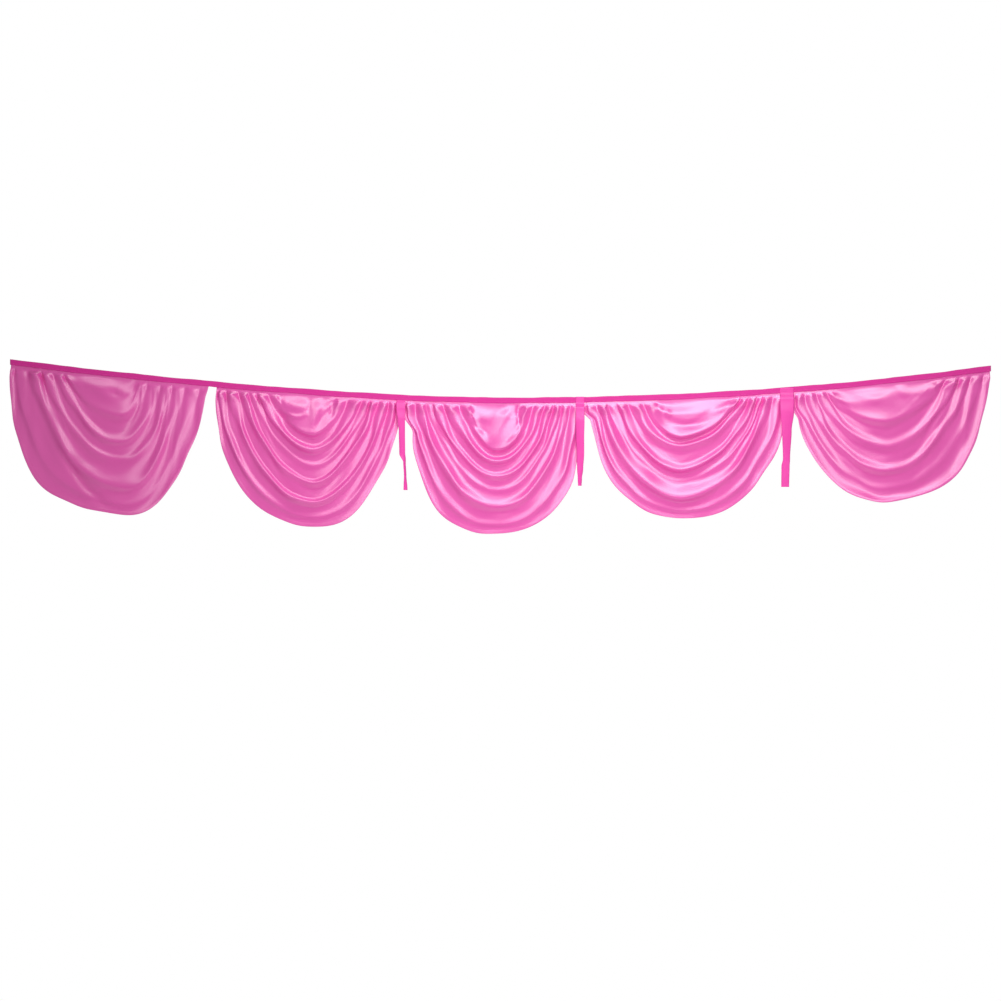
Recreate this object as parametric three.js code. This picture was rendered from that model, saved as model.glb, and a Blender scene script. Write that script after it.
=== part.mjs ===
// Swag valance: five half-moon swags of satin, pleated at both sides and slack in the middle, bound along
// the top by one folded header tape that sags between its ends, with ribbon ties at three of the joins.
// Millimetres. +X runs along the valance, -Y is the front and +Z is up.
// The origin is on the header's top edge, at mid-length.
import * as THREE from "three";

const { lerp, smoothstep } = THREE.MathUtils;

// Cloth
const CLOTH_THICKNESS = 1.5;
const CLEARANCE = 0.3;

// Header tape, folded over the swags' top edges
const TAPE_THICKNESS = 1.2;
const HEADER_HALF_LENGTH = 1500;
const HEADER_HEIGHT = 16.5;
const HEADER_SEGMENTS = 48;
const FOLD_SEGMENTS = 4;
const LEAF_FORWARD = CLOTH_THICKNESS / 2 + CLEARANCE + TAPE_THICKNESS / 2;
// From mid-length the top edge climbs to each end by rise * share ** bend
const HEADER_SAG = {
  left: { rise: 117, bend: 1.6 },
  right: { rise: 98, bend: 2.1 },
};

// Where the swags go up into the header
const TUCK_DEPTH = 11;
const EXIT_DROP = 2;
const TUCK_NUDGE = 2.5;

// Folds of a swag
const NECK_INSET = 0.08;
const NECK_STEPS = [0, 0.35, 0.7];
const NECK_RISE = 0.9;
const NECK_FULL_FALL = 25;
const CREST_FALL = 0.8;
const HEM_BLEND = 6;
// A hem's waist fades out up the folds, and starts at a share of its own drop
const WAIST_REACH = 0.2;
const WAIST_START = 0.5;
const NO_WAIST = { inward: 0, drop: 1 };
const VALLEY_START = 0.45;
const VALLEY_END = 0.66;
const FOLD_STEPS = [0, VALLEY_START, VALLEY_END];
const VALLEY_SHARE = 0.4;
const CREST_DROOP = 0.12;
const ACROSS_SEGMENTS = 21;

// The cloth puffs out fast just under the header, then swells slowly
const PUFF_FALL = 14;
const SWELL_FALL = 90;
const PUFF_SHARE = 0.55;
const PUFF_STATIONS = [10, 26];

// Each swag hangs between two corners on the header. low is the place of its lowest point and drop its depth
// below the header there. A side's belly and fall round the hem: depth share = (1 - share ** belly) ** fall, and
// crest is the belly of the folds above it. A waist is how far inward the hem draws below its corner, and by
// which drop.
// A row of folds is one crest, from the neck down. left and right are where it leaves the header, as a share of
// the way from that corner to low; depth is its share of the drop; lift is how far it stands forward at its
// left, middle and right.
const SWAGS = [
  {
    name: "swag_1",
    low: -1165,
    drop: 414,
    left: { corner: -1497, belly: 3, fall: 0.35, crest: 1.9 },
    right: { corner: -892, belly: 2.6, fall: 0.95, crest: 2.2 },
    hemLift: [6, 5, 5],
    folds: [
      { left: 0.5, depth: 0.25, right: 0.76, lift: [9, 14, 5] },
      { left: 0.44, depth: 0.465, right: 0.6, lift: [11, 12, 4] },
      { left: 0.31, depth: 0.6, right: 0.46, lift: [11, 10, 5] },
      { left: 0.235, depth: 0.795, right: 0.335, lift: [22, 13, 5] },
      { left: 0.07, depth: 0.92, right: 0.18, lift: [8, 4, 5] },
    ],
  },
  {
    name: "swag_2",
    low: -573,
    drop: 404,
    left: { corner: -868, belly: 1.9, fall: 0.35, crest: 1.9 },
    right: { corner: -307, belly: 2, fall: 0.6, crest: 1.65 },
    hemLift: [6, 6, 6],
    folds: [
      { left: 0.6, depth: 0.28, right: 0.7, lift: [10, 24, 12] },
      { left: 0.44, depth: 0.4, right: 0.48, lift: [16, 18, 20] },
      { left: 0.36, depth: 0.52, right: 0.37, lift: [6, 7, 14] },
      { left: 0.28, depth: 0.65, right: 0.305, lift: [18, 16, 17] },
      { left: 0.155, depth: 0.805, right: 0.17, lift: [18, 16, 17] },
      { left: 0.04, depth: 0.925, right: 0.08, lift: [16, 5, 14] },
    ],
  },
  {
    name: "swag_3",
    low: -13,
    drop: 400,
    left: { corner: -297, belly: 2.3, fall: 0.35, crest: 1.8, waist: { inward: 28, drop: 100 } },
    right: { corner: 250, belly: 2, fall: 0.35, crest: 2.3 },
    hemLift: [6, 5, 6],
    folds: [
      { left: 0.68, depth: 0.335, right: 0.64, lift: [12, 28, 16] },
      { left: 0.5, depth: 0.425, right: 0.48, lift: [24, 20, 18] },
      { left: 0.335, depth: 0.545, right: 0.37, lift: [16, 15, 17] },
      { left: 0.27, depth: 0.655, right: 0.285, lift: [3, 6, 19] },
      { left: 0.2, depth: 0.785, right: 0.2, lift: [19, 16, 15] },
      { left: 0.05, depth: 0.93, right: 0.07, lift: [16, 5, 13] },
    ],
  },
  {
    name: "swag_4",
    low: 553,
    drop: 364,
    left: { corner: 253, belly: 2, fall: 0.5, crest: 1.75, waist: { inward: 20, drop: 60 } },
    right: { corner: 882, belly: 2.6, fall: 0.6, crest: 1.9 },
    hemLift: [5, 5, 6],
    folds: [
      { left: 0.67, depth: 0.298, right: 0.46, lift: [14, 28, 26] },
      { left: 0.52, depth: 0.385, right: 0.4, lift: [16, 20, 14] },
      { left: 0.365, depth: 0.586, right: 0.32, lift: [20, 17, 18] },
      { left: 0.285, depth: 0.683, right: 0.25, lift: [3, 4, 16] },
      { left: 0.205, depth: 0.822, right: 0.21, lift: [22, 22, 15] },
      { left: 0.06, depth: 0.935, right: 0.08, lift: [14, 5, 11] },
    ],
  },
  {
    name: "swag_5",
    low: 1180,
    drop: 356,
    left: { corner: 886, belly: 2, fall: 0.55, crest: 1.7, waist: { inward: 16, drop: 90 } },
    right: { corner: 1497, belly: 3.5, fall: 0.65, crest: 1.75 },
    hemLift: [6, 14, 8],
    folds: [
      { left: 0.41, depth: 0.295, right: 0.49, lift: [8, 18, 17] },
      { left: 0.31, depth: 0.53, right: 0.33, lift: [9, 13, 14] },
      { left: 0.2, depth: 0.739, right: 0.235, lift: [10, 12, 13] },
      { left: 0.08, depth: 0.885, right: 0.12, lift: [9, 5, 9] },
    ],
  },
];

// Ribbon ties. A row of sections is one cut across the ribbon: drop below the header's top edge, x of its
// middle, forward of the middle plane, width, and turn in degrees about its length.
const TIE_THICKNESS = 1.2;
const TIE_COLUMNS = [-0.5, 0, 0.5];
const TIE_FORWARD = LEAF_FORWARD + TAPE_THICKNESS / 2 + CLEARANCE + TIE_THICKNESS / 2;
const TIES = [
  {
    name: "tie_1",
    sections: [
      { drop: 17.9, x: -305, forward: LEAF_FORWARD, width: 26, turn: 0 },
      { drop: 21, x: -305, forward: 4, width: 27, turn: 0 },
      { drop: 27, x: -305, forward: 8.5, width: 28, turn: 0 },
      { drop: 42, x: -305, forward: 14.5, width: 27, turn: 0 },
      { drop: 75, x: -303, forward: 19, width: 23, turn: 6 },
      { drop: 114, x: -301, forward: 19, width: 19, turn: 10 },
      { drop: 180, x: -300, forward: 18, width: 18, turn: 6 },
      { drop: 208, x: -293, forward: 18, width: 15, turn: 62 },
      { drop: 250, x: -291, forward: 18, width: 13, turn: 58 },
      { drop: 292, x: -290, forward: 18, width: 13, turn: 25 },
    ],
  },
  {
    name: "tie_2",
    sections: [
      { drop: 0, x: 243, forward: TIE_FORWARD, width: 25, turn: 0 },
      { drop: 17.5, x: 243, forward: TIE_FORWARD, width: 26, turn: 0 },
      { drop: 36, x: 243, forward: 16.5, width: 27, turn: 0 },
      { drop: 75, x: 243, forward: 22, width: 27, turn: -6 },
      { drop: 120, x: 243, forward: 22.5, width: 25, turn: -10 },
      { drop: 170, x: 244, forward: 21, width: 23, turn: -6 },
      { drop: 220, x: 243, forward: 20, width: 19, turn: 8 },
      { drop: 250, x: 242, forward: 19, width: 14, turn: 20 },
      { drop: 272, x: 242, forward: 18, width: 11, turn: 12 },
    ],
  },
  {
    name: "tie_3",
    sections: [
      { drop: 3, x: 876, forward: TIE_FORWARD, width: 42, turn: 0 },
      { drop: 17.5, x: 876, forward: TIE_FORWARD, width: 42, turn: 0 },
      { drop: 37, x: 875, forward: 14.5, width: 43, turn: 0 },
      { drop: 76, x: 875, forward: 19, width: 42, turn: 3 },
      { drop: 133, x: 874, forward: 19, width: 30, turn: 8 },
      { drop: 219, x: 873, forward: 18, width: 22, turn: 4 },
      { drop: 243, x: 870, forward: 18, width: 25, turn: -8 },
      { drop: 305, x: 869, forward: 18, width: 24, turn: -4 },
    ],
  },
];

const SATIN_COLOUR = 0xec6eb6;
const TAPE_COLOUR = 0xe03c9c;
const RIBBON_COLOUR = 0xf862bc;

function headerTop(x) {
  const side = x < 0 ? HEADER_SAG.left : HEADER_SAG.right;
  return side.rise * (Math.abs(x) / HEADER_HALF_LENGTH) ** side.bend;
}

function headerFoot(x) {
  return headerTop(x) - HEADER_HEIGHT;
}

// A closed sheet of even thickness from rows of points on its middle surface.
function sheetGeometry(rows, thickness) {
  const across = rows[0].length;
  const count = rows.length * across;
  const at = (i, j) => i * across + j;
  const front = [];
  for (let i = 0; i + 1 < rows.length; i++) {
    for (let j = 0; j + 1 < across; j++) {
      front.push(at(i, j), at(i + 1, j), at(i + 1, j + 1));
      front.push(at(i, j), at(i + 1, j + 1), at(i, j + 1));
    }
  }
  const middle = new THREE.BufferGeometry().setFromPoints(rows.flat());
  middle.setIndex(front);
  middle.computeVertexNormals();

  const points = [];
  for (const side of [1, -1]) {
    for (let k = 0; k < count; k++) {
      const normal = new THREE.Vector3().fromBufferAttribute(middle.attributes.normal, k);
      const point = new THREE.Vector3().fromBufferAttribute(middle.attributes.position, k);
      points.push(point.addScaledVector(normal, (side * thickness) / 2));
    }
  }

  const faces = [...front];
  for (let k = 0; k < front.length; k += 3) {
    faces.push(front[k] + count, front[k + 2] + count, front[k + 1] + count);
  }
  const rim = (from, to) => {
    faces.push(from, to, to + count, from, to + count, from + count);
  };
  const lastRow = rows.length - 1;
  const lastColumn = across - 1;
  for (let j = 0; j < lastColumn; j++) {
    rim(at(0, j), at(0, j + 1));
    rim(at(lastRow, j + 1), at(lastRow, j));
  }
  for (let i = 0; i < lastRow; i++) {
    rim(at(i + 1, 0), at(i, 0));
    rim(at(i, lastColumn), at(i + 1, lastColumn));
  }
  return new THREE.BufferGeometry().setFromPoints(points).setIndex(faces);
}

// The tape's section runs up its back leaf, over the fold and down its front leaf.
function headerGeometry() {
  const section = [{ y: LEAF_FORWARD, drop: HEADER_HEIGHT }];
  for (let k = 0; k <= FOLD_SEGMENTS; k++) {
    const angle = (Math.PI * k) / FOLD_SEGMENTS;
    const drop = TAPE_THICKNESS / 2 + LEAF_FORWARD * (1 - Math.sin(angle));
    section.push({ y: LEAF_FORWARD * Math.cos(angle), drop });
  }
  section.push({ y: -LEAF_FORWARD, drop: HEADER_HEIGHT });
  const rows = section.map(({ y, drop }) => {
    const row = [];
    for (let k = 0; k <= HEADER_SEGMENTS; k++) {
      const x = HEADER_HALF_LENGTH * ((2 * k) / HEADER_SEGMENTS - 1);
      row.push(new THREE.Vector3(x, y, headerTop(x) - drop));
    }
    return row;
  });
  return sheetGeometry(rows, TAPE_THICKNESS);
}

// One side of a fold's line: the crests' own curve above, and the hem's at the bottom.
function sideCurve(swag, side, share, depth) {
  const likeHem = depth ** HEM_BLEND;
  const waist = side.waist ?? NO_WAIST;
  const inward = waist.inward * (1 - smoothstep(share, 0, WAIST_REACH));
  return {
    x: lerp(side.corner, swag.low, share),
    inward: inward * Math.sign(swag.low - side.corner),
    waistDrop: waist.drop,
    belly: lerp(side.crest, side.belly, likeHem),
    fall: lerp(CREST_FALL, side.fall, likeHem),
  };
}

// One fold's line on the front: down from the header, round its lowest point and up again.
class FoldLine extends THREE.Curve {
  constructor(swag, row) {
    super();
    this.low = swag.low;
    this.depth = row.depth * swag.drop;
    this.left = sideCurve(swag, swag.left, row.left, row.depth);
    this.right = sideCurve(swag, swag.right, row.right, row.depth);
  }

  getPoint(t, target = new THREE.Vector3()) {
    const side = t < 0.5 ? this.left : this.right;
    const turn = Math.abs(t - 0.5) * Math.PI;
    const out = Math.sin(turn) ** (2 / side.belly);
    const fall = this.depth * Math.max(Math.cos(turn), 0) ** (2 * side.fall);
    const drawnIn = smoothstep(fall, WAIST_START * side.waistDrop, side.waistDrop);
    const x = lerp(this.low, side.x + side.inward, out) - side.inward * (1 - drawnIn);
    return target.set(x, 0, headerFoot(x) - EXIT_DROP - fall);
  }
}

// The crest lines of a swag, with the top of the neck before them and the hem after.
function crestLines(swag) {
  const first = swag.folds[0];
  const neck = { left: first.left + NECK_INSET, depth: 0, right: first.right + NECK_INSET, lift: [0, 0, 0] };
  const hem = { left: 0, depth: 1, right: 0, lift: swag.hemLift };
  return [neck, ...swag.folds, hem];
}

// A lift at its left, middle or right, with t from 0 to 1 along the fold.
function liftAt(lift, t) {
  const [left, middle, right] = lift;
  return t < 0.5 ? lerp(left, middle, 2 * t) : lerp(middle, right, 2 * t - 1);
}

// Relief between two crests: down under the upper one, level, then up over the lower one.
function reliefBetween(above, below, step, isNeck) {
  return (t, fall) => {
    const upper = liftAt(above.lift, t);
    const lower = liftAt(below.lift, t);
    if (isNeck) return lerp(upper, lower, step ** NECK_RISE) * smoothstep(fall, 0, NECK_FULL_FALL);
    const valley = VALLEY_SHARE * lerp(upper, lower, step);
    const under = 1 - smoothstep(step, 0, VALLEY_START);
    const over = smoothstep(step, VALLEY_END, 1);
    return (valley + (upper - valley) * under + (lower - valley) * over) * fullness(fall);
  };
}

function foldRows(swag) {
  const lines = crestLines(swag);
  const rows = [];
  for (let k = 0; k + 1 < lines.length; k++) {
    const [above, below] = [lines[k], lines[k + 1]];
    const steps = k === 0 ? NECK_STEPS : FOLD_STEPS;
    const all = k + 2 === lines.length ? [...steps, 1] : steps;
    for (const step of all) {
      rows.push({
        left: lerp(above.left, below.left, step),
        right: lerp(above.right, below.right, step),
        depth: lerp(above.depth, below.depth, step),
        relief: reliefBetween(above, below, step, k === 0),
      });
    }
  }
  return rows;
}

// Distances along a fold: close together by the header at both ends, even between.
function stationsAlong(length) {
  const near = [0, ...PUFF_STATIONS];
  const start = PUFF_STATIONS.at(-1);
  const even = ACROSS_SEGMENTS - 2 * PUFF_STATIONS.length;
  const stations = [...near];
  for (let k = 1; k < even; k++) stations.push(lerp(start, length - start, k / even));
  return [...stations, ...near.map((distance) => length - distance).reverse()];
}

function fullness(fall) {
  return lerp(smoothstep(fall, 0, SWELL_FALL), smoothstep(fall, 0, PUFF_FALL), PUFF_SHARE);
}

function tuckPoint(x) {
  return new THREE.Vector3(x, 0, headerFoot(x) + TUCK_DEPTH);
}

function foldPoints(swag, row) {
  const line = new FoldLine(swag, row);
  const length = line.getLength();
  return stationsAlong(length).map((distance) => {
    const t = line.getUtoTmapping(distance / length);
    const point = line.getPoint(t);
    const tangent = line.getTangent(t);
    const fall = headerFoot(point.x) - EXIT_DROP - point.z;
    const forward = row.relief(t, fall);
    point.x += tangent.z * forward * CREST_DROOP;
    point.z -= tangent.x * forward * CREST_DROOP;
    point.y = -forward;
    return point;
  });
}

// The folds' rows, with the strips added that go up flat into the header along the neck and both pleated sides.
function swagGeometry(swag) {
  const rows = foldRows(swag).map((row) => foldPoints(swag, row));
  const neck = rows[0].map((point) => point.x);
  const [start, end] = [neck[0], neck.at(-1)];
  const tucked = rows.map((row, i) => {
    const nudge = i === 0 ? TUCK_NUDGE : 0;
    return [tuckPoint(row[0].x - nudge), ...row, tuckPoint(row.at(-1).x + nudge)];
  });
  const inner = [start + TUCK_NUDGE, ...neck.slice(1, -1), end - TUCK_NUDGE];
  const top = [start, ...inner, end].map(tuckPoint);
  return sheetGeometry([top, ...tucked], CLOTH_THICKNESS);
}

function tieGeometry(tie) {
  const rows = tie.sections.map(({ drop, x, forward, width, turn }) => {
    const angle = THREE.MathUtils.degToRad(turn);
    return TIE_COLUMNS.map((share) => {
      const across = share * width;
      const z = headerTop(tie.sections[0].x) - drop;
      return new THREE.Vector3(x + across * Math.cos(angle), across * Math.sin(angle) - forward, z);
    });
  });
  return sheetGeometry(rows, TIE_THICKNESS);
}

function cloth(name, geometry, color, roughness) {
  const material = new THREE.MeshStandardMaterial({ color, roughness, metalness: 0 });
  const mesh = new THREE.Mesh(geometry, material);
  mesh.name = name;
  return mesh;
}

const valance = new THREE.Group();
valance.add(cloth("header_tape", headerGeometry(), TAPE_COLOUR, 0.6));
for (const swag of SWAGS) valance.add(cloth(swag.name, swagGeometry(swag), SATIN_COLOUR, 0.4));
for (const tie of TIES) valance.add(cloth(tie.name, tieGeometry(tie), RIBBON_COLOUR, 0.45));

export default valance;
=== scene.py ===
"""Looks of a satin swag valance: five half-moon swags, a folded header tape and three ribbon ties.

Lengths are millimetres in the tables of cloth and metres in the meshes and on the stage.
-Y is the front and +Z is up. A fall is how far a place in the cloth lies below the header.
"""
import math
from collections import namedtuple

import bpy
import numpy as np
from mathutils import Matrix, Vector


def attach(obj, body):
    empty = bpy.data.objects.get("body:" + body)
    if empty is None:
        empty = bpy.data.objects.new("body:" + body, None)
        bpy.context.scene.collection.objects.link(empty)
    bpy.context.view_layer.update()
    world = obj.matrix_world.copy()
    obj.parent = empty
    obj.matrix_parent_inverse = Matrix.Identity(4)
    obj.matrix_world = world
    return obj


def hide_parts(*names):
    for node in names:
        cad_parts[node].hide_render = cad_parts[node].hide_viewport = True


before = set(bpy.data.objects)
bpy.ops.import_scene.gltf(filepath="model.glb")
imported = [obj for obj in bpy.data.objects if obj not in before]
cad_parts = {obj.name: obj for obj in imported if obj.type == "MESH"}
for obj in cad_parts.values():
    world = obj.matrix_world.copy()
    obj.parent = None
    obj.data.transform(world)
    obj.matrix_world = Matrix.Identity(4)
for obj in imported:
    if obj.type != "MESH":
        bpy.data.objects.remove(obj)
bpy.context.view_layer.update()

METRES = 0.001
TINY = 1e-9
UV_NAME = "cloth"

# Header tape: from mid-length its top edge climbs to each end by rise * share ** bend
HEADER_HALF_LENGTH = 1500.0
HEADER_HEIGHT = 16.5
TAPE_THICKNESS = 1.1
LEAF_FORWARD = 1.65
LEAF_ROWS = 8
HEADER_COLUMNS = 751
Sag = namedtuple("Sag", "rise bend")
SAG_LEFT = Sag(117.0, 1.6)
SAG_RIGHT = Sag(98.0, 2.1)

# Swag cloth, and how close together its points lie
CLOTH_THICKNESS = 0.8
ROW_SPACING = 3.0
LEAST_ROWS = 8
COLUMNS = 201
END_CROWDING = 0.6
LINE_SAMPLES = 1601
EDGE_ARC = 4

# Where a swag goes up into the tape
TUCK = 7.0
TUCK_BEND = 4
EXIT_DROP = 2.0

# The slack neck above a swag's first fold
NECK_INSET = 0.08
NECK_RISE = 0.9
NECK_FULL_FALL = 45.0

# Lines of the folds, which turn into the hem's own line at the bottom
CREST_FALL = 0.8
HEM_BLEND = 6.0
# A hem's waist fades out up the folds, and starts at a share of its own drop
WAIST_REACH = 0.2
WAIST_START = 0.5

# Relief between two crests: steep under the upper one, a valley, then up over the lower one
UNDER_SHARE = 0.45
VALLEY_SHARE = 0.4
VALLEY_FALLS = (15.0, 100.0)
CREST_EASE = 0.25
VALLEY_EASE = 0.5
CREST_DROOP = 0.12
# Pleats by the header have round crests and sharp valleys, down to where the folds swing free
PLEAT_SHARE = 0.5
PLEAT_CREST_EASE = 0.7
PLEAT_VALLEY_EASE = 0.15
PLEAT_FALL = 40.0
FREE_FALL = 130.0

# How a fold fills out below the header: straight down a little, a round puff, then a slow swell
STRAIGHT_FALL = 4.0
RISE_FALL = 17.0
PUFF_FALL = 19.0
PUFF_WIDTH = 15.0
PUFF_SHARE = 0.5
PUFF_EXTRA = 0.45
SWELL_START = 35.0
SWELL_FALL = 120.0

# Narrow hem along a swag's free edge
HEM_WIDTH = 9.0
HEM_EXTRA = 0.5
HEM_EASE = 0.8
HEM_ROW_SPACING = 1.0
HEM_ROWS = 12

# left and right: where a crest leaves the header, as a share of the way from that corner to the lowest point.
# depth: its share of the drop. At its left, middle and right, lift is how far it stands forward,
# and pinch is 1 for a broad round fold or 3 for a thin ridge.
Fold = namedtuple("Fold", "left depth right lift pinch")
# belly and fall round a side of the hem: depth share = (1 - share ** belly) ** fall. crest is the folds' own
# belly. The hem draws in by waist below its corner, and is all drawn in at waist_drop.
Side = namedtuple("Side", "corner belly fall crest waist waist_drop", defaults=(0, 1))
# A soft ridge, or a trough where height is below 0, from one x and drop below the header to another.
# bow moves its middle down, and width is half its breadth.
Crease = namedtuple("Crease", "x drop to_x to_drop bow width height")
# low: the place of a swag's lowest point. drop: its depth below the header there.
Swag = namedtuple("Swag", "name low drop hem_lift left right folds creases")

SWAGS = (
    Swag(
        "swag_1", low=-1165, drop=414, hem_lift=(6, 4, 5),
        left=Side(-1497, 3.0, 0.35, 1.9),
        right=Side(-892, 2.6, 0.95, 2.2),
        folds=(
            Fold(0.5, 0.25, 0.76, (9, 14, 5), (1.2, 1.2, 1.2)),
            Fold(0.44, 0.465, 0.6, (11, 12, 4), (1.6, 1.6, 1.2)),
            Fold(0.31, 0.6, 0.46, (11, 10, 5), (1.6, 1.6, 1.2)),
            Fold(0.235, 0.795, 0.335, (22, 13, 5), (1.1, 1.0, 1.2)),
            Fold(0.07, 0.92, 0.18, (8, 4, 5), (1.0, 1.2, 1.2)),
        ),
        creases=(
            Crease(-1268, 26, -1177, 43, 0, 26, 6),
            Crease(-1190, 47, -1165, 53, 0, 12, -3),
            Crease(-1415, 90, -1215, 388, 45, 13, -7),
        ),
    ),
    Swag(
        "swag_2", low=-573, drop=404, hem_lift=(5, 2, 5),
        left=Side(-868, 1.9, 0.35, 1.9),
        right=Side(-307, 2.0, 0.6, 1.65),
        folds=(
            Fold(0.6, 0.28, 0.7, (10, 24, 12), (1.2, 1.2, 1.2)),
            Fold(0.44, 0.4, 0.48, (16, 18, 20), (1.6, 1.6, 1.4)),
            Fold(0.36, 0.52, 0.37, (6, 7, 14), (1.5, 1.8, 1.8)),
            Fold(0.28, 0.65, 0.305, (18, 16, 17), (2.2, 2.4, 2.0)),
            Fold(0.155, 0.805, 0.17, (18, 16, 17), (2.6, 2.8, 2.4)),
            Fold(0.04, 0.925, 0.08, (16, 5, 14), (2.0, 1.4, 1.6)),
        ),
        creases=(
            Crease(-650, 34, -593, 39, 0, 22, 7),
            Crease(-662, 55, -593, 60, 14, 7, 4),
            Crease(-673, 63, -650, 86, 0, 10, -5),
            Crease(-553, 17, -576, 106, 0, 13, 6),
            Crease(-582, 21, -588, 56, 0, 7, -5),
            Crease(-510, 29, -519, 66, 0, 9, -5),
        ),
    ),
    Swag(
        "swag_3", low=-13, drop=400, hem_lift=(5, 2, 5),
        left=Side(-297, 2.3, 0.35, 1.8, waist=28, waist_drop=100),
        right=Side(250, 2.0, 0.35, 2.3),
        folds=(
            Fold(0.68, 0.335, 0.64, (12, 28, 16), (1.2, 1.2, 1.2)),
            Fold(0.5, 0.425, 0.48, (24, 20, 18), (1.0, 1.5, 1.8)),
            Fold(0.335, 0.545, 0.37, (16, 15, 17), (1.6, 1.8, 1.8)),
            Fold(0.27, 0.655, 0.285, (3, 6, 19), (1.3, 1.5, 1.4)),
            Fold(0.2, 0.785, 0.2, (19, 16, 15), (0.7, 1.1, 2.0)),
            Fold(0.05, 0.93, 0.07, (16, 5, 13), (1.2, 1.4, 1.0)),
        ),
        creases=(
            Crease(33, 10, -27, 119, 0, 12, 4),
            Crease(4, 13, -50, 93, 0, 12, -2),
            Crease(-73, 16, -33, 59, 0, 18, 2),
            Crease(53, 13, 56, 62, 0, 7, -7),
            Crease(76, 8, 67, 67, 0, 8, 8),
            Crease(-106, 58, -44, 92, 0, 8, -3),
            Crease(-100, 10, -98, 12, 0, 9, 5),
            Crease(-93, 28, -91, 30, 0, 9, 5),
            Crease(-77, 50, -75, 52, 0, 9, 4),
            Crease(76, 85, 10, 138, 0, 9, 4),
            Crease(-165, 216, -45, 296, 12, 22, 5),
        ),
    ),
    Swag(
        "swag_4", low=553, drop=364, hem_lift=(4, 2, 5),
        left=Side(253, 2.0, 0.5, 1.75, waist=20, waist_drop=60),
        right=Side(882, 2.6, 0.6, 1.9),
        folds=(
            Fold(0.67, 0.298, 0.46, (14, 28, 26), (1.2, 1.2, 1.0)),
            Fold(0.52, 0.385, 0.4, (16, 20, 14), (1.6, 1.2, 2.0)),
            Fold(0.365, 0.586, 0.32, (20, 17, 18), (1.4, 1.9, 2.0)),
            Fold(0.285, 0.683, 0.25, (3, 4, 16), (1.4, 1.4, 1.8)),
            Fold(0.205, 0.822, 0.21, (22, 22, 15), (0.65, 0.6, 2.0)),
            Fold(0.06, 0.935, 0.08, (14, 5, 11), (1.6, 1.4, 1.8)),
        ),
        creases=(
            Crease(467, 13, 469, 15, 0, 10, 6),
            Crease(488, 30, 490, 32, 0, 10, 6),
            Crease(511, 42, 513, 44, 0, 10, 6),
            Crease(560, 34, 690, 24, 0, 26, 3),
            Crease(590, 104, 706, 34, 13, 12, 4),
            Crease(516, 72, 630, 74, 8, 13, -6),
            Crease(452, 150, 540, 203, 6, 12, 4),
            Crease(445, 220, 570, 278, 8, 22, 5),
        ),
    ),
    Swag(
        "swag_5", low=1180, drop=356, hem_lift=(6, 14, 8),
        left=Side(886, 2.0, 0.55, 1.7, waist=16, waist_drop=90),
        right=Side(1497, 3.5, 0.65, 1.75),
        folds=(
            Fold(0.41, 0.295, 0.49, (8, 18, 17), (1.2, 1.2, 1.2)),
            Fold(0.31, 0.53, 0.33, (9, 13, 14), (1.6, 1.6, 1.4)),
            Fold(0.2, 0.739, 0.235, (10, 12, 13), (1.6, 1.6, 1.8)),
            Fold(0.08, 0.885, 0.12, (9, 5, 9), (1.4, 1.3, 1.3)),
        ),
        creases=(
            Crease(1102, 29, 1174, 40, 0, 28, 4),
            Crease(1217, 12, 1245, 52, 0, 14, 4),
            Crease(918, 11, 919, 13, 0, 8, 4),
            Crease(951, 11, 952, 13, 0, 8, 4),
            Crease(984, 11, 985, 13, 0, 8, 4),
        ),
    ),
)
CREASE_SAMPLES = 41
# A crease grows over these falls. Its ends fade by a share of its height, or by less where it is shorter
# than a few widths.
CREASE_FALLS = (2.0, 14.0)
CREASE_FADE = 0.6
CREASE_FADE_WIDTHS = 4.0

# Slow waves that make the cloth uneven: their lengths along and down the folds, and their height
Wave = namedtuple("Wave", "along down height")
WRINKLES = (Wave(260, 95, 0.7), Wave(170, -70, 0.4), Wave(110, 45, 0.2))
WANDER = (Wave(320, 420, 2.2), Wave(170, -260, 1.2))
SWELLS = (Wave(420, 230, 0.16), Wave(190, -145, 0.12))
TAPE_SWAY = (Wave(310, 900, 0.25), Wave(120, 900, 0.12))
TAPE_RISE = (Wave(260, 70, 0.6), Wave(90, 40, 0.3))
# A wave's start bends to and fro at this share of its own rate
WAVE_BEND = 0.43
# How far apart the top and bottom crests lie in the waves that swell them
SWELL_SPREAD = 1000.0
# Wrinkles and wander grow over these falls
LOOSE_FALLS = (2.0, 40.0)
# Seeds: the first is added to all, and those of a swag's waves to its own number
WAVE_SEED = 41
WRINKLE_SEED = 10
SWELL_SEED = 30
TAPE_SWAY_SEED = 20
TAPE_RISE_SEED = 21

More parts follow.
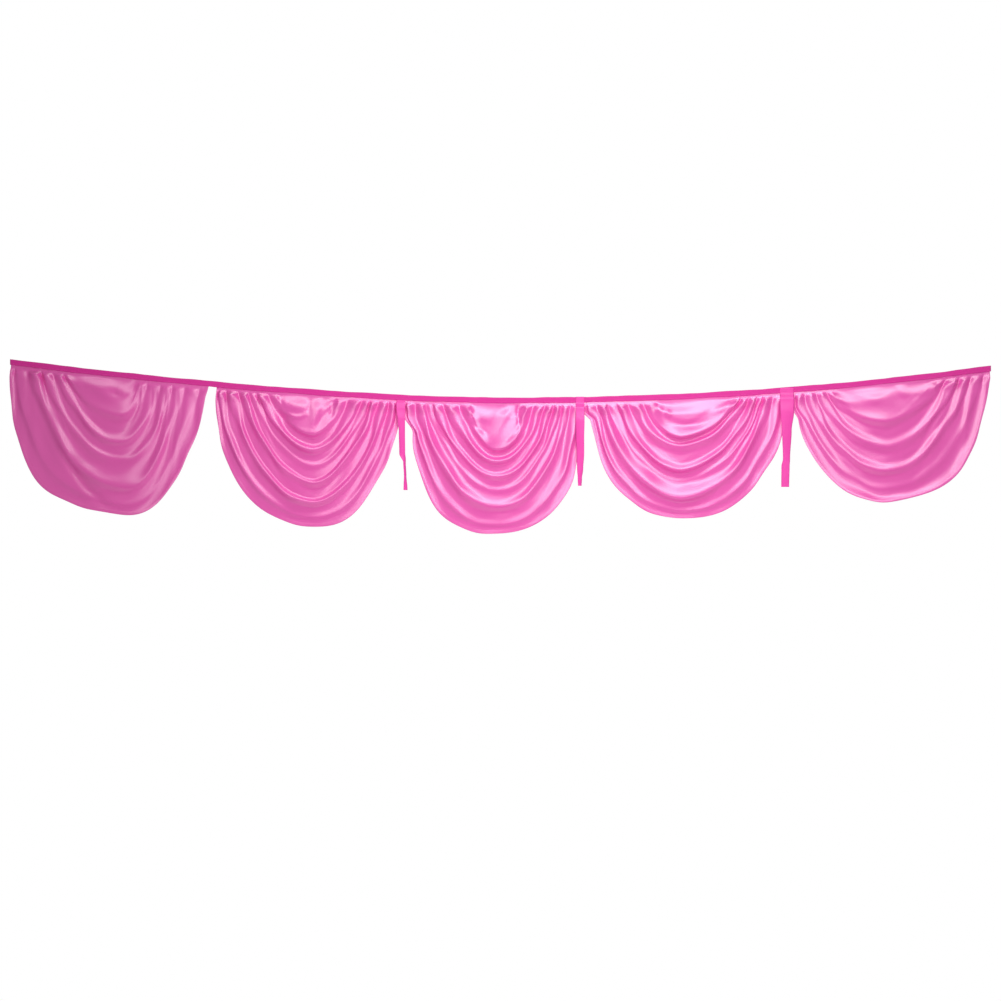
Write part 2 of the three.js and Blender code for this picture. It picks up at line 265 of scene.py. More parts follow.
# A cut across a ribbon: drop below the header's top edge, x and forward of its middle, width,
# and turn in degrees
Cut = namedtuple("Cut", "drop x forward width turn")
TIE_THICKNESS = 0.6
TIE_FORWARD = 3.15
TIES = {
    "tie_1": (
        Cut(11, -305, 0.75, 26, 0),
        Cut(17.5, -305, 0.95, 26, 0),
        Cut(21, -305, 4, 27, 0),
        Cut(27, -305, 8.5, 28, 0),
        Cut(42, -305, 14.5, 27, 0),
        Cut(75, -303, 19, 23, 6),
        Cut(114, -301, 19, 19, 10),
        Cut(180, -300, 18, 18, 6),
        Cut(208, -293, 18, 15, 62),
        Cut(250, -291, 18, 13, 58),
        Cut(292, -290, 18, 13, 25),
    ),
    "tie_2": (
        Cut(0, 243, TIE_FORWARD, 25, 0),
        Cut(17.5, 243, TIE_FORWARD, 26, 0),
        Cut(36, 243, 16.5, 27, 0),
        Cut(75, 243, 22, 27, -6),
        Cut(120, 243, 22.5, 25, -10),
        Cut(170, 244, 21, 23, -6),
        Cut(220, 243, 20, 19, 8),
        Cut(250, 242, 19, 14, 20),
        Cut(272, 242, 18, 11, 12),
    ),
    "tie_3": (
        Cut(3, 876, TIE_FORWARD, 42, 0),
        Cut(17.5, 876, TIE_FORWARD, 42, 0),
        Cut(37, 875, 14.5, 43, 0),
        Cut(76, 875, 19, 42, 3),
        Cut(133, 874, 19, 30, 8),
        Cut(219, 873, 18, 22, 4),
        Cut(243, 870, 18, 25, -8),
        Cut(305, 869, 18, 24, -4),
    ),
}
TIE_ROW_SPACING = 3.0
TIE_COLUMNS = 13
# How far a ribbon's middle bows forward of its edges, and the drops between which the bow grows
TIE_BOW = 1.6
TIE_BOW_DROPS = (45.0, 90.0)

# Stitching: length and gap of a stitch, and the radius of its thread
STITCH_LENGTH = 3.2
STITCH_GAP = 1.2
THREAD_RADIUS = 0.32
# How far along a stitch each ring of its thread lies, and its share of the radius there
STITCH_RINGS = ((0.0, 0.4), (0.18, 1.0), (0.82, 1.0), (1.0, 0.4))
STITCH_SIDES = 4
HEM_STITCH_FROM_EDGE = 7.0
HEM_STITCH_INSET = 6
TAPE_STITCH_FROM_EDGE = 3.5
TIE_STITCH_DROPS = (5.0, 13.0)

# What a cloth looks like: its colour, roughness, refraction for its shine, how far its highlights stretch
# along the thread, how much its colour and roughness vary, and the width and height of its threads in metres
Cloth = namedtuple("Cloth", "colour roughness shine stretch tone_change rough_change "
                            "thread_width thread_height")
CLOTHS = {
    "satin": Cloth((0.82, 0.09, 0.435), 0.5, 1.75, 0.95, 0.05, 0.05, 0.0012, 0.00002),
    "tape": Cloth((0.65, 0.03, 0.285), 0.7, 1.2, 0.0, 0.05, 0.05, 0.0016, 0.0001),
    "ribbon": Cloth((0.79, 0.06, 0.38), 0.5, 1.25, 0.4, 0.03, 0.04, 0.001, 0.00004),
    "thread": Cloth((0.8, 0.08, 0.40), 0.5, 1.4, 0.0, 0.04, 0.04, 0.0005, 0.00002),
}
SHEEN = 0.1
SHEEN_ROUGHNESS = 0.35
# Noise over the flat cloth: its scale, its factors along and across the thread, and its detail
Grain = namedtuple("Grain", "scale stretch detail")
PATCHES = Grain(9.0, (1.0, 1.6), 3.0)
SLUBS = Grain(90.0, (1.0, 9.0), 2.0)
SMALL_CREASES = Grain(14.0, (0.6, 1.6), 2.0)
SMALL_CREASE_DEPTH = 0.0004
# Length of one band of the wave texture at a scale of 1, and how unevenly the threads run
BAND_LENGTH = 0.314
THREAD_WOBBLE = 0.6

# Camera: the whole valance, seen straight on through a long lens
VIEW_WIDTH = 3.062
VIEW_CENTRE_Z = -0.315
LENS_MM = 100.0
SENSOR_MM = 36.0
CLIP_END = 50.0

# Soft lights, in metres, watts and degrees. Those in the highlights give gloss alone, the others shading.
Softbox = namedtuple("Softbox", "name place target size watts spread in_highlights")
SOFTBOXES = (
    Softbox("key", (0.3, -1.7, 1.6), (0.3, 0.0, -0.15), (2.0, 2.6), 17.0, 120.0, False),
    Softbox("fill", (0.35, -2.8, 0.0), (0.3, 0.0, -0.2), (2.0, 1.4), 13.0, 90.0, False),
    Softbox("gloss", (0.5, -1.5, 1.7), (0.45, 0.0, -0.15), (2.0, 2.4), 21.5, 100.0, True),
    Softbox("strip", (0.5, -1.6, 1.45), (0.45, 0.0, -0.15), (1.6, 0.5), 10.0, 120.0, True),
    Softbox("front", (0.4, -2.7, 0.45), (0.4, 0.0, -0.2), (0.8, 0.5), 0.9, 60.0, True),
    Softbox("low", (0.35, -2.4, 0.95), (0.2, 0.0, -0.15), (0.9, 0.5), 1.2, 60.0, True),
    Softbox("back", (0.0, 3.0, 0.9), (0.0, 0.0, -0.2), (3.0, 1.6), 60.0, 180.0, False),
    Softbox("back_gloss", (0.0, 2.0, 1.7), (0.0, 0.0, -0.15), (3.0, 1.6), 30.0, 120.0, True),
)
WHITE = (1.0, 1.0, 1.0, 1.0)
WORLD_LIGHT = 0.4
WORLD_HIGHLIGHT = 0.15
WORLD_SEEN = 1.0

# Floor
FLOOR_Z = -2.4
FLOOR_RADIUS = 2.2
FLOOR_SIDES = 96
FLOOR_COLOUR = (0.86, 0.86, 0.86, 1.0)
FLOOR_ROUGHNESS = 0.7
FLOOR_GLOW = 0.3


# Curves

def smooth(value, start, end):
    share = np.clip((value - start) / (end - start), 0.0, 1.0)
    return share * share * (3.0 - 2.0 * share)


def mix(a, b, share):
    return a + (b - a) * share


def arch(share):
    """From 0 at both ends to 1 in the middle."""
    return 4.0 * share * (1.0 - share)


def ramp(value, start, end, ease_in, ease_out):
    """From 0 to 1 at an even slope, eased in and out over shares of the way."""
    share = np.clip((value - start) / (end - start), 0.0, 1.0)
    slope = 1.0 / (1.0 - (ease_in + ease_out) / 2.0)
    first = slope * share ** 2 / (2.0 * ease_in)
    last = 1.0 - slope * (1.0 - share) ** 2 / (2.0 * ease_out)
    even = slope * (share - ease_in / 2.0)
    return np.where(share < ease_in, first, np.where(share > 1.0 - ease_out, last, even))


def running_total(steps):
    return np.concatenate([[0.0], np.cumsum(steps)])


def header_top(x):
    x = np.asarray(x, float)
    share = np.abs(x) / HEADER_HALF_LENGTH
    return np.where(x < 0, SAG_LEFT.rise * share ** SAG_LEFT.bend, SAG_RIGHT.rise * share ** SAG_RIGHT.bend)


def header_foot(x):
    return header_top(x) - HEADER_HEIGHT


def fall_below_header(x, z):
    return np.maximum(header_foot(x) - EXIT_DROP - z, 0.0)


def wave_sum(waves, along, down, seed):
    """A sum of slow waves over the flat cloth, each with its own seeded start."""
    starts = np.random.default_rng(WAVE_SEED + seed).uniform(0.0, 2.0 * math.pi, (len(waves), 2))
    total = np.zeros(np.broadcast_shapes(np.shape(along), np.shape(down)))
    for wave, (start, bend) in zip(waves, starts):
        turn = 2.0 * math.pi * (along / wave.along + down / wave.down)
        total = total + wave.height * np.sin(turn + start + np.sin(WAVE_BEND * turn + bend))
    return total


# Meshes

def add_object(name, points, faces, uv, material):
    """A smooth mesh object from points in millimetres, with its flat-cloth coordinates as a UV map."""
    mesh = bpy.data.meshes.new(name)
    mesh.from_pydata((points * METRES).tolist(), [], faces)
    layer = mesh.uv_layers.new(name=UV_NAME)
    corners = np.zeros(len(mesh.loops), dtype=np.int32)
    mesh.loops.foreach_get("vertex_index", corners)
    layer.data.foreach_set("uv", (uv[corners] * METRES).ravel())
    mesh.polygons.foreach_set("use_smooth", np.ones(len(mesh.polygons), dtype=bool))
    mesh.materials.append(material)
    mesh.update()
    made = bpy.data.objects.new(name, mesh)
    bpy.context.scene.collection.objects.link(made)
    return made


def unit(vectors):
    return vectors / np.maximum(np.linalg.norm(vectors, axis=-1, keepdims=True), TINY)


def grid_normals(grid):
    """Unit normals of a grid of points, towards the front where rows run down and columns to the right."""
    cells = np.cross(grid[1:, :-1] - grid[:-1, 1:], grid[1:, 1:] - grid[:-1, :-1])
    total = np.zeros_like(grid)
    for rows in (slice(None, -1), slice(1, None)):
        for columns in (slice(None, -1), slice(1, None)):
            total[rows, columns] += cells
    return unit(total)


def edge_arc(edge, before, normal, radius):
    """Rows of points round a cloth's edge, from the side that its normal points to, to the other."""
    outward = unit(edge - before)
    turns = [math.pi * k / EDGE_ARC for k in range(1, EDGE_ARC)]
    return [edge + radius * (math.cos(turn) * normal + math.sin(turn) * outward) for turn in turns]


def end_caps(front_rows, arc_rows, all_rows, round_first):
    """The rows round each face that closes a sheet's side: one face a step down, and one for each arc."""
    last_front = front_rows - 1
    first_back = front_rows + arc_rows
    last_back = first_back + last_front
    caps = [[i, last_back - i, last_back - i - 1, i + 1] for i in range(last_front)]
    caps.append([last_front, *range(first_back, last_front, -1)])
    if round_first:
        caps.append([0, *range(all_rows - 1, last_back - 1, -1)])
    return caps


def closed_sheet(grid, flat, thickness, round_first=False):
    """Points, faces and flat coordinates of a closed sheet round a grid, with its last row's edge rounded."""
    normal = grid_normals(grid)
    half = np.broadcast_to(thickness, grid.shape[:2])[..., None] / 2.0
    low_arc = edge_arc(grid[-1], grid[-2], normal[-1], half[-1])
    high_arc = edge_arc(grid[0], grid[1], -normal[0], half[0]) if round_first else []
    rows = np.array([*(grid + normal * half), *low_arc, *(grid - normal * half)[::-1], *high_arc])
    flats = np.array([*flat, *[flat[-1]] * len(low_arc), *flat[::-1], *[flat[0]] * len(high_arc)])
    count, across = rows.shape[:2]
    at = np.arange(count * across).reshape(count, across)
    after = np.roll(at, -1, axis=0)
    faces = np.stack([at[:, :-1], after[:, :-1], after[:, 1:], at[:, 1:]], axis=-1).reshape(-1, 4).tolist()
    for cap in end_caps(len(grid), len(low_arc), count, round_first):
        faces.append(at[cap, 0].tolist())
        faces.append(at[cap[::-1], -1].tolist())
    return rows.reshape(-1, 3), faces, flats.reshape(-1, 2)


# Stitching

def stitch_points(path, normal):
    """Starts, ends and normals of even stitches along a path."""
    length = running_total(np.linalg.norm(np.diff(path, axis=0), axis=1))
    pitch = STITCH_LENGTH + STITCH_GAP
    first = np.arange(STITCH_GAP, length[-1] - STITCH_LENGTH, pitch)

    def at(distance, values):
        return np.stack([np.interp(distance, length, values[:, k]) for k in range(3)], axis=1)

    return at(first, path), at(first + STITCH_LENGTH, path), unit(at(first + STITCH_LENGTH / 2.0, normal))


def stitch_rings(start, end, up):
    """The points of every stitch's thread, ring by ring."""
    side = unit(np.cross(end - start, up))
    rings = []
    for share, radius in STITCH_RINGS:
        middle = mix(start, end, share)
        for k in range(STITCH_SIDES):
            turn = 2.0 * math.pi * (k + 0.5) / STITCH_SIDES
            rings.append(middle + THREAD_RADIUS * radius * (math.cos(turn) * side + math.sin(turn) * up))
    return np.stack(rings, axis=1)


def stitch_faces():
    """The faces of one stitch: its sides, then its first and last ends."""
    corner = np.arange(STITCH_SIDES)
    following = np.roll(corner, -1)
    faces = []
    for ring in range(len(STITCH_RINGS) - 1):
        near = ring * STITCH_SIDES
        far = near + STITCH_SIDES
        faces.append(np.stack([near + corner, near + following, far + following, far + corner], axis=1))
    last_ring = STITCH_SIDES * (len(STITCH_RINGS) - 1)
    return np.concatenate([*faces, corner[None, ::-1], last_ring + corner[None, :]])


def add_stitching(name, paths, material):
    """All the stitches along some (path, normal) pairs, as one joined mesh."""
    stitches = np.concatenate([stitch_rings(*stitch_points(path, normal)) for path, normal in paths])
    points = stitches.reshape(-1, 3)
    starts = np.arange(len(stitches)) * stitches.shape[1]
    faces = (stitch_faces()[None, :, :] + starts[:, None, None]).reshape(-1, 4).tolist()
    return add_object(name, points, faces, points[:, [0, 2]], material)


# Swags

def value_along(values, t):
    """A crest's lift or pinch at t from 0 to 1 along it, from its left, middle and right values."""
    left, middle, right = values
    ends = np.where(t < 0.5, left, right)
    return mix(middle, ends, smooth(np.abs(2.0 * t - 1.0), 0.0, 1.0))


def crest_lift(fold, t, distance, seed):
    """How far a crest stands forward along its length, swelling and fading a little."""
    return value_along(fold.lift, t) * (1.0 + wave_sum(SWELLS, distance, SWELL_SPREAD * fold.depth, seed))


def relief_between(above, below, step, is_neck, t, fall, distance, seed):
    """Forward relief between two crests: steep under the upper one, then up over the lower by its pinch."""
    upper = crest_lift(above, t, distance, seed)
    lower = crest_lift(below, t, distance, seed)
    if is_neck:
        return mix(upper, lower, step ** NECK_RISE)
    free = smooth(fall, PLEAT_FALL, FREE_FALL)
    valley = VALLEY_SHARE * mix(upper, lower, step) * smooth(fall, *VALLEY_FALLS)
    under_share = mix(PLEAT_SHARE, UNDER_SHARE, free)
    over_share = mix(PLEAT_SHARE, (1.0 - UNDER_SHARE) / value_along(below.pinch, t), free)
    crest_ease = mix(PLEAT_CREST_EASE, CREST_EASE, free)
    valley_ease = mix(PLEAT_VALLEY_EASE, VALLEY_EASE, free)
    under = 1.0 - ramp(step, 0.0, under_share, crest_ease, valley_ease)
    over = ramp(step, 1.0 - over_share, 1.0, valley_ease, crest_ease)
    return valley + (upper - valley) * under + (lower - valley) * over


def fold_line(swag, left, right, depth, t):
    """x and z of one fold's line at t from 0 at its left end, in the header, to 1 at its right end."""
    on_left = t < 0.5
    side = Side(*(np.where(on_left, a, b) for a, b in zip(swag.left, swag.right)))
    share = np.where(on_left, left, right)
    like_hem = max(depth, 0.0) ** HEM_BLEND
    turn = np.abs(t - 0.5) * math.pi
    out = np.sin(turn) ** (2.0 / mix(side.crest, side.belly, like_hem))
    down = np.clip(np.cos(turn), 0.0, 1.0) ** (2.0 * mix(CREST_FALL, side.fall, like_hem))
    inward = np.sign(swag.low - side.corner) * side.waist * (1.0 - smooth(share, 0.0, WAIST_REACH))
    drawn_in = smooth(depth * swag.drop * down, WAIST_START * side.waist_drop, side.waist_drop)
    end = mix(side.corner, swag.low, share)
    x = mix(swag.low, end + inward, out) - inward * (1.0 - drawn_in)
    tucked = (TUCK + EXIT_DROP) * (1.0 - down) ** TUCK_BEND
    return x, header_foot(x) - EXIT_DROP - depth * swag.drop * down + tucked


def evenly_along(swag, left, right, depth):
    """The line's own parameter at stations along it, closer together near the header, and their distances."""
    fine = np.linspace(0.0, 1.0, LINE_SAMPLES)
    x, z = fold_line(swag, left, right, depth, fine)
    length = running_total(np.hypot(np.diff(x), np.diff(z)))
    share = np.linspace(0.0, 1.0, COLUMNS)
    share = share - END_CROWDING * np.sin(2.0 * math.pi * share) / (2.0 * math.pi)
    return np.interp(share * length[-1], length, fine), (share - 0.5) * length[-1]


def fullness(fall):
    """How much of its lift a fold has at a fall below the header."""
    puff = np.exp(-((fall - PUFF_FALL) / PUFF_WIDTH) ** 2)
    near = smooth(fall, STRAIGHT_FALL, RISE_FALL) * (PUFF_SHARE + PUFF_EXTRA * puff)
    return near + (1.0 - PUFF_SHARE) * smooth(fall, SWELL_START, SWELL_FALL)


def fold_steps(above, below, drop, is_last):
    """Steps from one crest to the next, about ROW_SPACING apart at the middle, closer together at the hem."""
    height = (below.depth - above.depth) * drop
    count = max(LEAST_ROWS, round(height / ROW_SPACING))
    if not is_last:
        return np.arange(count) / count
    hem_share = HEM_ROWS * HEM_ROW_SPACING / height
    upper = np.linspace(0.0, 1.0 - hem_share, count, endpoint=False)
    return np.concatenate([upper, np.linspace(1.0 - hem_share, 1.0, HEM_ROWS + 1)])


def crease_relief(creases, x, z):
    """Forward relief of the creases at points of the cloth, from their distance to each crease's curve."""
    total = np.zeros_like(x)
    share = np.linspace(0.0, 1.0, CREASE_SAMPLES)
    for crease in creases:
        line_x = mix(crease.x, crease.to_x, share)
        line_drop = mix(crease.drop, crease.to_drop, share) + crease.bow * arch(share)
        line_z = header_foot(line_x) - line_drop
        distance = np.hypot(x[..., None] - line_x, z[..., None] - line_z)
        nearest = np.argmin(distance, axis=-1)
        across = np.min(distance, axis=-1) / crease.width
        length = math.hypot(crease.to_x - crease.x, crease.to_drop - crease.drop)
        fade = CREASE_FADE * min(1.0, length / (CREASE_FADE_WIDTHS * crease.width))
        ends = 1.0 - fade * (1.0 - np.sin(math.pi * share[nearest]))
        total += crease.height * ends * np.exp(-across ** 2)
    return total


def crest_lines(swag):
    """The crests of a swag, with the top of its neck before them and its hem after."""
    first = swag.folds[0]
    top = -(TUCK + EXIT_DROP) / swag.drop
    neck = Fold(first.left + NECK_INSET, top, first.right + NECK_INSET, (0, 0, 0), (1, 1, 1))
    hem = Fold(0.0, 1.0, 0.0, swag.hem_lift, (1, 1, 1))
    return [neck, *swag.folds, hem]


def cloth_row(swag, above, below, step, is_neck, seed):
    """One row of points along the cloth, a step of the way between two crests, and their flat distances."""
    left, right, depth = (mix(getattr(above, name), getattr(below, name), step)
                          for name in ("left", "right", "depth"))
    t, distance = evenly_along(swag, left, right, depth)
    x, z = fold_line(swag, left, right, depth, t)
    fall = fall_below_header(x, z)
    full = fullness(fall)
    if is_neck:
        full = mix(smooth(fall, STRAIGHT_FALL, NECK_FULL_FALL), full, step ** 2)
    forward = full * relief_between(above, below, step, is_neck, t, fall, distance, seed + SWELL_SEED)
    loose = smooth(fall, *LOOSE_FALLS)
    shift = CREST_DROOP * forward + loose * wave_sum(WANDER, distance, depth * swag.drop, seed)
    forward = forward + loose * wave_sum(WRINKLES, distance, depth * swag.drop, seed + WRINKLE_SEED)
    run = unit(np.stack([np.gradient(x), np.gradient(z)], axis=1))
    return np.stack([x + shift * run[:, 1], -forward, z - shift * run[:, 0]], axis=1), distance


def swag_grid(swag, seed):
    """The middle surface of a swag as a grid of points, and its flat coordinates."""
    lines = crest_lines(swag)
    grid, along = [], []
    for k, (above, below) in enumerate(zip(lines, lines[1:])):
        for step in fold_steps(above, below, swag.drop, k + 2 == len(lines)):
            points, distance = cloth_row(swag, above, below, step, k == 0, seed)
            grid.append(points)
            along.append(distance)
    grid = np.array(grid)
    x, z = grid[..., 0], grid[..., 2]
    grid[..., 1] -= smooth(fall_below_header(x, z), *CREASE_FALLS) * crease_relief(swag.creases, x, z)
    middle = grid[:, COLUMNS // 2]
    down = running_total(np.linalg.norm(np.diff(middle, axis=0), axis=1))
    return grid, np.stack(np.broadcast_arrays(np.array(along), down[:, None]), axis=2)


def hem_thickness(grid):
    """Thickness over the cloth, with the doubled hem."""
    steps = np.linalg.norm(np.diff(grid, axis=0), axis=2)
    from_edge = np.zeros(grid.shape[:2])
    from_edge[:-1] = np.cumsum(steps[::-1], axis=0)[::-1]
    single = smooth(from_edge, HEM_WIDTH - HEM_EASE, HEM_WIDTH + HEM_EASE)
    return CLOTH_THICKNESS + HEM_EXTRA * (1.0 - single)


def hem_paths(grid, thickness):
    """Paths and normals of the hem's stitching, on the front and on the back."""
    normal = grid_normals(grid)
    row = len(grid) - 1 - round(HEM_STITCH_FROM_EDGE / HEM_ROW_SPACING)
    shown = slice(HEM_STITCH_INSET, -HEM_STITCH_INSET)
    middle, up = grid[row, shown], normal[row, shown]
    half = thickness[row, shown, None] / 2.0
    return [(middle + up * half, up), (middle - up * half, -up)]


def cut_size(flat, grid):
    """Width, length and area in metres of the flat panel: its hem, its middle line and its own surface."""
    width = np.ptp(flat[-1, :, 0])
    length = np.max(flat[-1, :, 1])
    cells = np.cross(grid[1:, 1:] - grid[:-1, :-1], grid[1:, :-1] - grid[:-1, 1:])
    area = np.sum(np.linalg.norm(cells, axis=2)) / 2.0
    return (width * METRES, length * METRES), area * METRES ** 2


def make_swag(swag, seed, satin, thread):
    """A swag's cloth, the stitching of its hem, and the size of its flat panel."""
    grid, flat = swag_grid(swag, seed)
    thickness = hem_thickness(grid)
    points, faces, uv = closed_sheet(grid, flat, thickness)
    cloth = add_object(swag.name + "_cloth", points, faces, uv, satin)
    stitching = add_stitching(swag.name + "_hem_stitching", hem_paths(grid, thickness), thread)
    return cloth, stitching, cut_size(flat, grid)


# Header

def header_section():
    """y and drop along the tape's section: up its back leaf, over the fold and down its front leaf."""
    fold_centre = TAPE_THICKNESS / 2.0 + LEAF_FORWARD
    up = np.linspace(HEADER_HEIGHT, fold_centre, LEAF_ROWS, endpoint=False)
    turns = np.linspace(0.0, math.pi, LEAF_ROWS + 1)
    leaf = np.full(LEAF_ROWS, LEAF_FORWARD)
    y = np.concatenate([leaf, LEAF_FORWARD * np.cos(turns), -leaf])
    drop = np.concatenate([up, fold_centre - LEAF_FORWARD * np.sin(turns), up[::-1]])
    return y, drop


def make_header(tape, thread):
    """The folded tape, and the stitching along both its leaves."""
    section_y, section_drop = header_section()
    section_run = running_total(np.hypot(np.diff(section_y), np.diff(section_drop)))
    x = np.linspace(-HEADER_HALF_LENGTH, HEADER_HALF_LENGTH, HEADER_COLUMNS)
    down = section_drop[:, None]
    grid = np.zeros((len(section_y), len(x), 3))
    grid[..., 0] = x
    grid[..., 1] = section_y[:, None] + wave_sum(TAPE_SWAY, x, 0.0, TAPE_SWAY_SEED)
    grid[..., 2] = header_top(x) - down + wave_sum(TAPE_RISE, x, down, TAPE_RISE_SEED)
    flat = np.stack(np.broadcast_arrays(x, section_run[:, None]), axis=2)
    points, faces, uv = closed_sheet(grid, flat, TAPE_THICKNESS, round_first=True)
    cloth = add_object("header_tape_cloth", points, faces, uv, tape)
    stitch_drop = HEADER_HEIGHT - TAPE_STITCH_FROM_EDGE
    back_row = int(np.argmin(np.abs(section_drop[:LEAF_ROWS] - stitch_drop)))
    front_row = len(grid) - 1 - back_row
    normal = grid_normals(grid)
    paths = [(grid[k] + normal[k] * TAPE_THICKNESS / 2.0, normal[k]) for k in (back_row, front_row)]
    return cloth, add_stitching("header_tape_stitching", paths, thread)


# Ties

def eased_columns(cuts):
    """A tie's columns at evenly spaced drops, eased between the cuts."""
    drops = np.array([cut.drop for cut in cuts], float)
    at = np.linspace(drops[0], drops[-1], int((drops[-1] - drops[0]) / TIE_ROW_SPACING) + 1)
    above = np.clip(np.searchsorted(drops, at, side="right") - 1, 0, len(drops) - 2)
    share = smooth((at - drops[above]) / (drops[above + 1] - drops[above]), 0.0, 1.0)
    columns = {"drop": at}
    for name in ("x", "forward", "width", "turn"):
        values = np.array([getattr(cut, name) for cut in cuts], float)
        columns[name] = mix(values[above], values[above + 1], share)
    return columns


def tie_grid(cuts):
    """The middle surface of a tie as a grid of points, and its flat coordinates."""
    columns = {name: values[:, None] for name, values in eased_columns(cuts).items()}
    share = np.linspace(0.0, 1.0, TIE_COLUMNS)
    across = columns["width"] * (share - 0.5)
    bow = TIE_BOW * smooth(columns["drop"], *TIE_BOW_DROPS) * arch(share)
    angle = np.radians(columns["turn"])
    x = columns["x"] + across * np.cos(angle) + bow * np.sin(angle)
    y = across * np.sin(angle) - bow * np.cos(angle) - columns["forward"]
    z = header_top(cuts[0].x) - columns["drop"] + np.zeros_like(across)
    flat = np.stack(np.broadcast_arrays(across, columns["drop"]), axis=2)
    return np.stack([x, y, z], axis=2), flat


def make_tie(name, cuts, ribbon, thread):
    """A ribbon, and a list of the stitching at its top, empty where the top is inside the tape."""
    grid, flat = tie_grid(cuts)
    points, faces, uv = closed_sheet(grid, flat, TIE_THICKNESS, round_first=True)
    tie = add_object(name + "_ribbon", points, faces, uv, ribbon)
    if cuts[0].forward < TIE_FORWARD:
        return tie, []
    normal = grid_normals(grid)
    drops = flat[:, 0, 1]
    rows = [int(np.argmin(np.abs(drops - drop))) for drop in TIE_STITCH_DROPS]
    paths = [(grid[k, 1:-1] + normal[k, 1:-1] * TIE_THICKNESS / 2.0, normal[k, 1:-1]) for k in rows]
    return tie, [add_stitching(name + "_stitching", paths, thread)]


# Materials

def noise(tree, place, grain):
    """A noise texture over the flat cloth."""
    scaled = tree.nodes.new("ShaderNodeVectorMath")
    scaled.operation = "MULTIPLY"
    scaled.inputs[1].default_value = (*grain.stretch, 1.0)
    tree.links.new(place, scaled.inputs[0])
    made = tree.nodes.new("ShaderNodeTexNoise")
    made.inputs["Scale"].default_value = grain.scale
    made.inputs["Detail"].default_value = grain.detail
    tree.links.new(scaled.outputs[0], made.inputs["Vector"])
    return made.outputs["Fac"]


def around(tree, value, middle, change):
    """A value from 0 to 1 moved into a range round a middle."""
    made = tree.nodes.new("ShaderNodeMapRange")
    made.inputs["To Min"].default_value = middle - change
    made.inputs["To Max"].default_value = middle + change
    tree.links.new(value, made.inputs["Value"])
    return made.outputs["Result"]


def bump(tree, height, depth, after=None):
    """A normal with a height texture of some depth in metres pressed into it."""
    made = tree.nodes.new("ShaderNodeBump")
    made.inputs["Strength"].default_value = 1.0
    made.inputs["Distance"].default_value = depth
    tree.links.new(height, made.inputs["Height"])
    if after:
        tree.links.new(after, made.inputs["Normal"])
    return made.outputs["Normal"]


def set_shine(tree, shader, cloth):
    """The cloth's gloss and sheen, with the highlights stretched along its thread."""
    shader.inputs["Specular IOR Level"].default_value = 1.0
    shader.inputs["IOR"].default_value = cloth.shine
    shader.inputs["Anisotropic"].default_value = cloth.stretch
    shader.inputs["Sheen Weight"].default_value = SHEEN
    shader.inputs["Sheen Roughness"].default_value = SHEEN_ROUGHNESS
    tangent = tree.nodes.new("ShaderNodeTangent")
    tangent.direction_type = "UV_MAP"
    tangent.uv_map = UV_NAME
    tree.links.new(tangent.outputs["Tangent"], shader.inputs["Tangent"])


def add_tone(tree, shader, place, slubs, cloth):
    """Colour that varies in soft patches and with the slubs, and roughness that varies with the slubs."""
    patches = noise(tree, place, PATCHES)
    tone = tree.nodes.new("ShaderNodeHueSaturation")
    tone.inputs["Color"].default_value = (*cloth.colour, 1.0)
    both = tree.nodes.new("ShaderNodeMath")
    both.operation = "MULTIPLY"
    tree.links.new(around(tree, patches, 1.0, cloth.tone_change), both.inputs[0])
    tree.links.new(around(tree, slubs, 1.0, cloth.tone_change / 2.0), both.inputs[1])
    tree.links.new(both.outputs["Value"], tone.inputs["Value"])
    tree.links.new(tone.outputs["Color"], shader.inputs["Base Color"])
    tree.links.new(around(tree, slubs, cloth.roughness, cloth.rough_change), shader.inputs["Roughness"])


def add_weave(tree, shader, place, slubs, cloth):
    """Small creases, slubs and thread ridges."""
    threads = tree.nodes.new("ShaderNodeTexWave")
    threads.wave_type = "BANDS"
    threads.bands_direction = "DIAGONAL"
    threads.inputs["Scale"].default_value = BAND_LENGTH / cloth.thread_width
    threads.inputs["Distortion"].default_value = THREAD_WOBBLE
    tree.links.new(place, threads.inputs["Vector"])
    normal = bump(tree, noise(tree, place, SMALL_CREASES), SMALL_CREASE_DEPTH)
    normal = bump(tree, slubs, cloth.thread_height, normal)
    normal = bump(tree, threads.outputs["Fac"], cloth.thread_height, normal)
    tree.links.new(normal, shader.inputs["Normal"])


def cloth_material(name, cloth):
    """Woven cloth: uneven tone, slubs along the thread, fine thread ridges and small creases."""
    made = bpy.data.materials.new(name)
    made.use_nodes = True
    tree = made.node_tree
    shader = tree.nodes["Principled BSDF"]
    set_shine(tree, shader, cloth)
    flat = tree.nodes.new("ShaderNodeUVMap")
    flat.uv_map = UV_NAME
    place = flat.outputs["UV"]
    slubs = noise(tree, place, SLUBS)
    add_tone(tree, shader, place, slubs, cloth)
    add_weave(tree, shader, place, slubs, cloth)
    return made


# Stage

def add_camera():
    camera = bpy.data.cameras.new("camera")
    camera.lens = LENS_MM
    camera.sensor_width = SENSOR_MM
    camera.clip_end = CLIP_END
    made = bpy.data.objects.new("camera", camera)
    made.location = (0.0, -VIEW_WIDTH * LENS_MM / SENSOR_MM, VIEW_CENTRE_Z)
    made.rotation_euler = (math.radians(90.0), 0.0, 0.0)
    bpy.context.scene.collection.objects.link(made)
    bpy.context.scene.camera = made


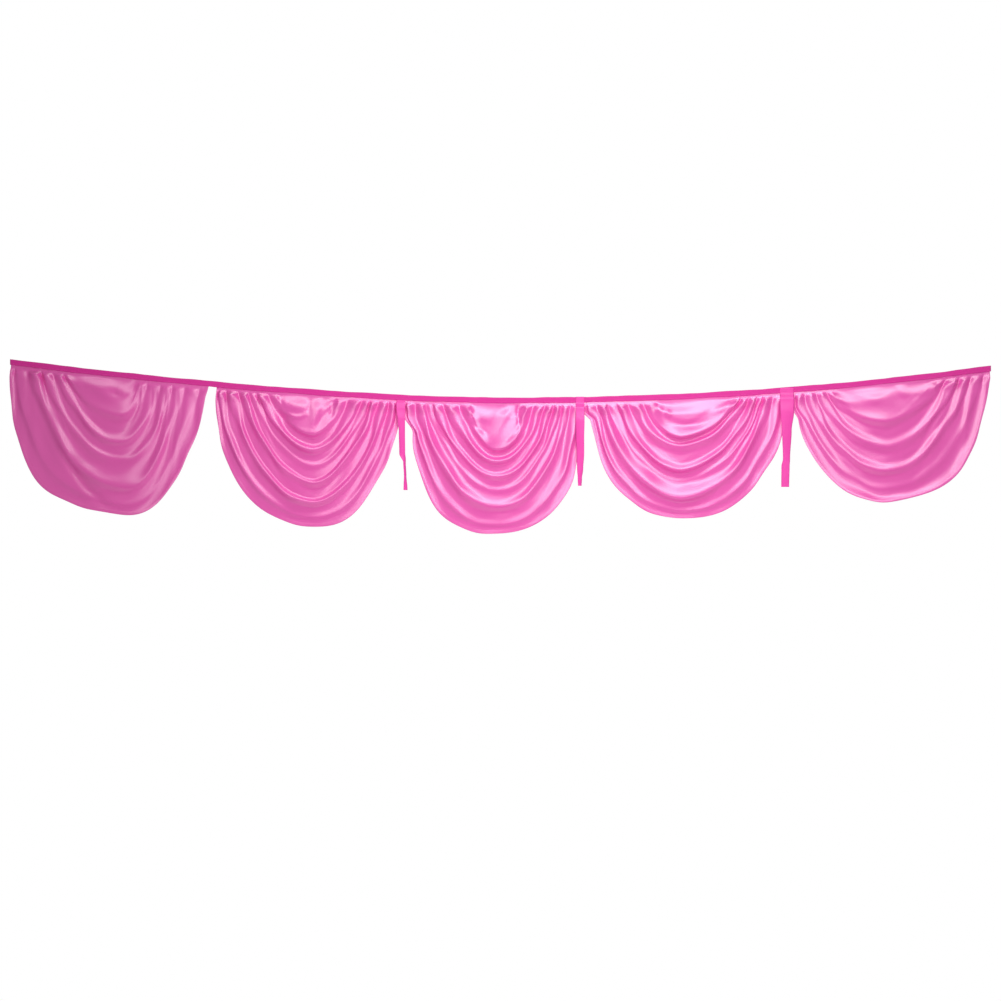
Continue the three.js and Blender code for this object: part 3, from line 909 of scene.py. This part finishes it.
def add_softbox(softbox):
    """A soft light that gives the cloth its highlights, or else its even shading."""
    light = bpy.data.lights.new(softbox.name, "AREA")
    light.shape = "RECTANGLE"
    light.size, light.size_y = softbox.size
    light.energy = softbox.watts
    light.spread = math.radians(softbox.spread)
    made = bpy.data.objects.new(softbox.name, light)
    made.location = softbox.place
    aim = Vector(softbox.target) - Vector(softbox.place)
    made.rotation_euler = aim.to_track_quat("-Z", "Y").to_euler()
    made.visible_camera = False
    made.visible_glossy = softbox.in_highlights
    made.visible_diffuse = not softbox.in_highlights
    bpy.context.scene.collection.objects.link(made)


def add_world():
    """White behind the object, a dimmer even light on it, and less of it in the highlights."""
    world = bpy.data.worlds.new("studio")
    bpy.context.scene.world = world
    world.use_nodes = True
    nodes, links = world.node_tree.nodes, world.node_tree.links
    seen = nodes.new("ShaderNodeLightPath")
    shader = nodes["Background"]
    shader.inputs["Strength"].default_value = WORLD_LIGHT
    shader.inputs["Color"].default_value = WHITE
    for ray, strength in (("Is Glossy Ray", WORLD_HIGHLIGHT), ("Is Camera Ray", WORLD_SEEN)):
        white = nodes.new("ShaderNodeBackground")
        white.inputs["Strength"].default_value = strength
        white.inputs["Color"].default_value = WHITE
        both = nodes.new("ShaderNodeMixShader")
        links.new(seen.outputs[ray], both.inputs["Fac"])
        links.new(shader.outputs[0], both.inputs[1])
        links.new(white.outputs["Background"], both.inputs[2])
        shader = both
    links.new(shader.outputs["Shader"], nodes["World Output"].inputs["Surface"])


def add_floor():
    """A plain pale disc, well below the valance."""
    mesh = bpy.data.meshes.new("floor")
    turns = [2.0 * math.pi * k / FLOOR_SIDES for k in range(FLOOR_SIDES)]
    rim = [(FLOOR_RADIUS * math.cos(turn), FLOOR_RADIUS * math.sin(turn), FLOOR_Z) for turn in turns]
    mesh.from_pydata(rim, [], [list(range(FLOOR_SIDES))])
    floor = bpy.data.objects.new("floor", mesh)
    bpy.context.scene.collection.objects.link(floor)
    pale = bpy.data.materials.new("pale_floor")
    pale.use_nodes = True
    shader = pale.node_tree.nodes["Principled BSDF"]
    shader.inputs["Base Color"].default_value = FLOOR_COLOUR
    shader.inputs["Roughness"].default_value = FLOOR_ROUGHNESS
    shader.inputs["Emission Color"].default_value = WHITE
    shader.inputs["Emission Strength"].default_value = FLOOR_GLOW
    mesh.materials.append(pale)


def put_on_frame(piece, node=None):
    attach(piece, "root")
    if node:
        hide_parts(node)


bpy.context.scene.view_settings.view_transform = "Standard"
add_camera()
add_world()
for softbox in SOFTBOXES:
    add_softbox(softbox)
add_floor()

materials = {name: cloth_material(name, cloth) for name, cloth in CLOTHS.items()}
thread = materials["thread"]

header, header_stitching = make_header(materials["tape"], thread)
put_on_frame(header, "header_tape")
put_on_frame(header_stitching)
for number, swag in enumerate(SWAGS):
    cloth, stitching, (size, area) = make_swag(swag, number, materials["satin"], thread)
    put_on_frame(cloth, swag.name)
    put_on_frame(stitching)
for name, cuts in TIES.items():
    tie, sewn = make_tie(name, cuts, materials["ribbon"], thread)
    put_on_frame(tie, name)
    for piece in sewn:
        put_on_frame(piece)
